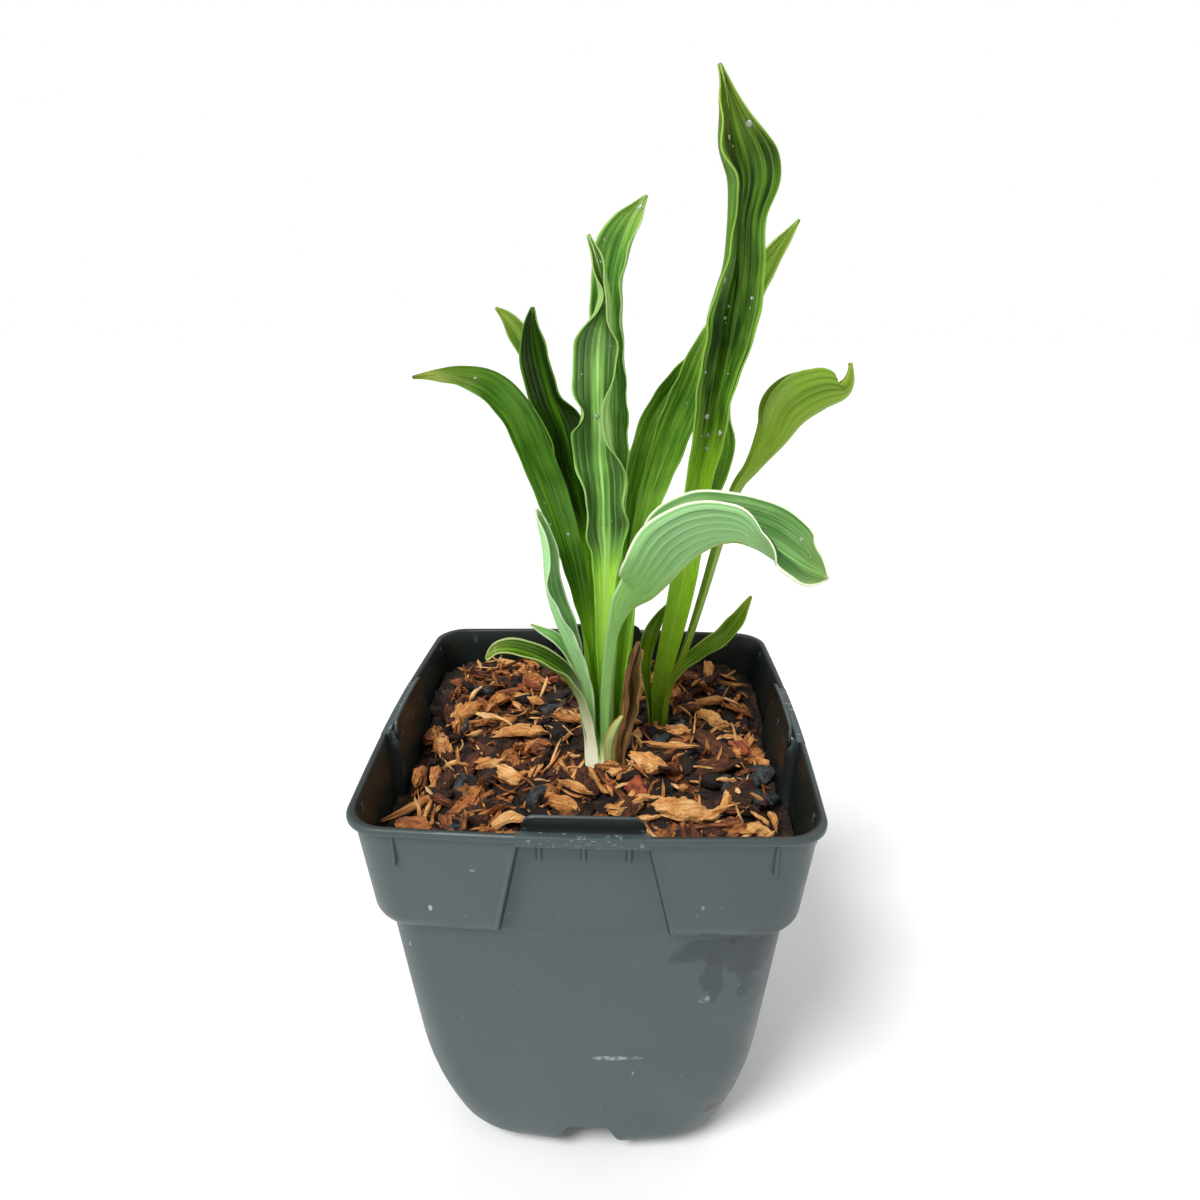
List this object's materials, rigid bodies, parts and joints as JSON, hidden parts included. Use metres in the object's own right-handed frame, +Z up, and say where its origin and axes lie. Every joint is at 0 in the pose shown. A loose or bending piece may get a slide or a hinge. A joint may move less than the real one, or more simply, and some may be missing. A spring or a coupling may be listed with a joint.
{
  "type": "potted hosta plant",
  "caption": "Young leafy perennial with waved, channelled blades, growing in a square nursery pot filled with bark potting mix.",
  "frame": {"origin": "middle of the pot's flat base, on the surface that it stands on", "axes": "+Z up; -Y towards the side with the drooping leaf, which is the front; +X to the right"},
  "size_m": [0.1308, 0.1174, 0.2882],
  "materials": {
    "pot_plastic": "satin, scuffed",
    "bark_mix": "rough, damp",
    "root": "rough",
    "leaf_green": "satin, ribbed",
    "leaf_blue_green": "matte, with a waxy bloom",
    "dry_sheath": "dry, papery"
  },
  "bodies": {
    "root": {"pot": "pot_plastic", "potting_mix": "bark_mix", "rootstock": "root", "leaf_centre_front": "leaf_green", "leaf_centre_back": "leaf_green", "leaf_left_arching": "leaf_green", "leaf_left_folded": "leaf_green", "leaf_left_back": "leaf_green", "leaf_middle_dark": "leaf_green", "leaf_middle_broad": "leaf_green", "leaf_right_tall": "leaf_green", "leaf_right_back": "leaf_green", "leaf_right_cupped": "leaf_green", "leaf_low_right": "leaf_green", "leaf_short_middle": "leaf_green", "leaf_front_drooping": "leaf_blue_green", "leaf_left_curled": "leaf_blue_green", "leaf_low_left": "leaf_blue_green", "leaf_low_small": "leaf_blue_green", "sheath_brown": "dry_sheath", "sheath_tan": "dry_sheath", "bud_scale": "dry_sheath"}
  },
  "joints": []
}
